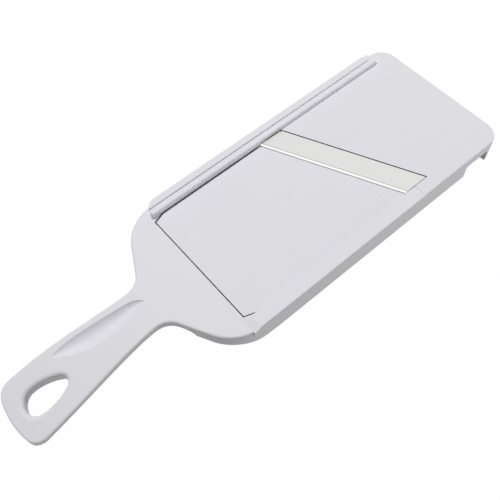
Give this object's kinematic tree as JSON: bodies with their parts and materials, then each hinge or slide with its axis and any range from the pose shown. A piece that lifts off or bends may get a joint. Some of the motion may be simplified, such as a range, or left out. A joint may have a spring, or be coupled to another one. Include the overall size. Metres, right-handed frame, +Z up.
{
  "type": "mandoline slicer",
  "caption": "Hand-held mandoline slicer: handle with hang hole, tilting front plate set by a dial underneath, slanted fixed blade, rear deck, guide rail and notches for a bowl's rim.",
  "frame": {"origin": "middle of the bounding box in X and Y, at the height of its lowest point, which is the underside of the handle's end", "axes": "+X from the handle to the far end, +Y to the tall guide rail, +Z up out of the deck"},
  "size_m": [0.3254, 0.1028, 0.0299],
  "materials": {
    "white_plastic": "satin white moulding",
    "blade_steel": "ground along the blade",
    "fastener_steel": "plain",
    "dial_plastic": "satin",
    "washer_plastic": "plain"
  },
  "bodies": {
    "frame": {"body_frame": "white_plastic", "slicing_blade": "blade_steel", "blade_holder": "white_plastic", "blade_screws": "fastener_steel", "pivot_rod": "fastener_steel", "friction_washer": "washer_plastic"},
    "plate": {"front_plate": "white_plastic"},
    "dial": {"thickness_dial": "dial_plastic", "lift_cam": "dial_plastic", "dial_screw": "fastener_steel"}
  },
  "joints": [
    {"name": "dial_turn", "type": "hinge", "parent": "frame", "child": "dial", "pos_m": [0.0213, 0, 0.01165], "axis": [0, 0, 1], "range_deg": [-35.55, 177.76]},
    {"name": "plate_tilt", "type": "hinge", "parent": "frame", "child": "plate", "pos_m": [-0.0307, 0, 0.01945], "axis": [0, 1, 0], "range_deg": [-0.2, 0.99]}
  ],
  "couplings": [
    {"joint": "plate_tilt", "follows": "dial_turn", "ratio": 0.0055556}
  ]
}
